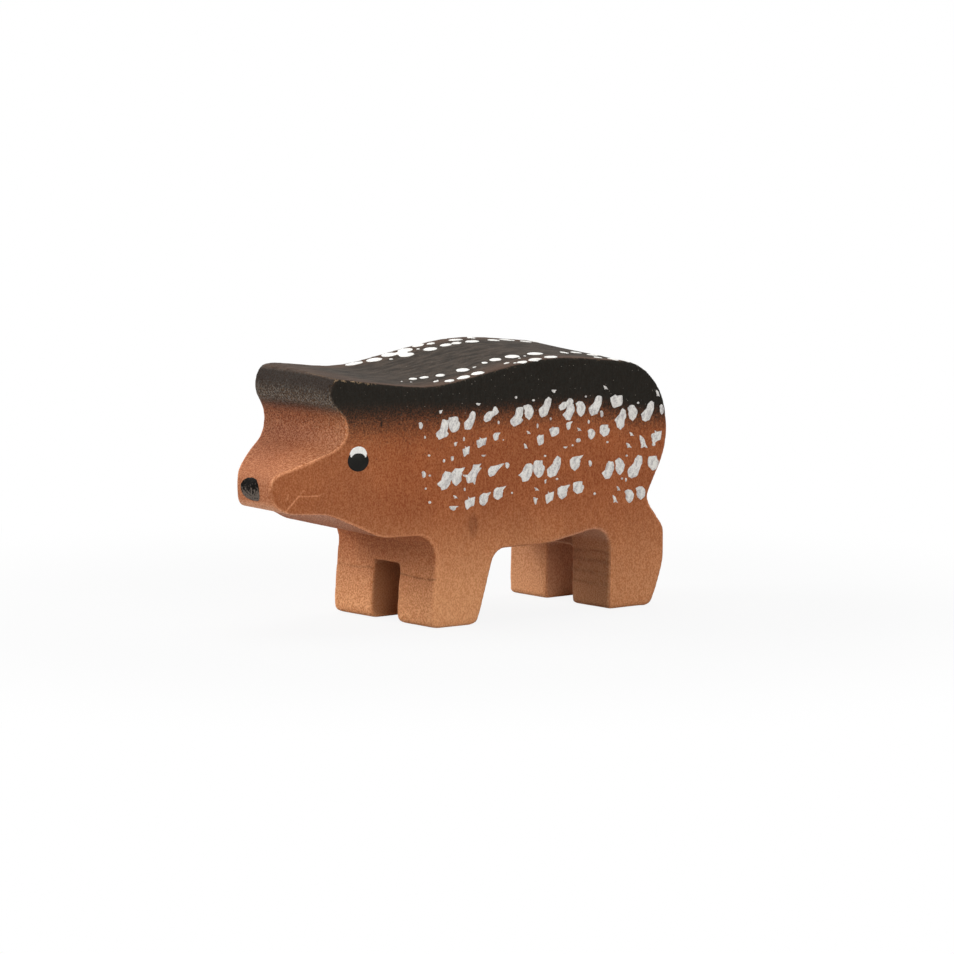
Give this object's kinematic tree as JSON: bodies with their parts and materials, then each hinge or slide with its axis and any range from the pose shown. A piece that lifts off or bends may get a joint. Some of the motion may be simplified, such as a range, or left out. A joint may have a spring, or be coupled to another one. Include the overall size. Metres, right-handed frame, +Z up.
{
  "type": "wooden piglet figurine",
  "caption": "Standing piglet sawn from one board, with a slot between the legs, sanded cheeks, a darkened back and painted eyes, nose and dabs.",
  "frame": {"origin": "on the floor, under the middle of the length and of the board's thickness", "axes": "+X from the nose to the rump, +Y to the animal's right, +Z up"},
  "size_m": [0.0625, 0.0222, 0.0364],
  "materials": {
    "stained_wood": "satin stain",
    "black_paint": "satin paint",
    "white_paint": "matt paint"
  },
  "bodies": {
    "root": {"wooden_body": "stained_wood", "nose_dot": "black_paint", "eye_left": "black_paint", "eye_right": "black_paint", "eye_white_left": "white_paint", "eye_white_right": "white_paint", "left_dab_row_1": "white_paint", "left_dab_row_2": "white_paint", "left_dab_row_3": "white_paint", "left_dab_row_4": "white_paint", "right_dab_row_1": "white_paint", "right_dab_row_2": "white_paint", "right_dab_row_3": "white_paint", "right_dab_row_4": "white_paint", "back_dots_left": "white_paint", "back_dots_right": "white_paint"}
  },
  "joints": []
}
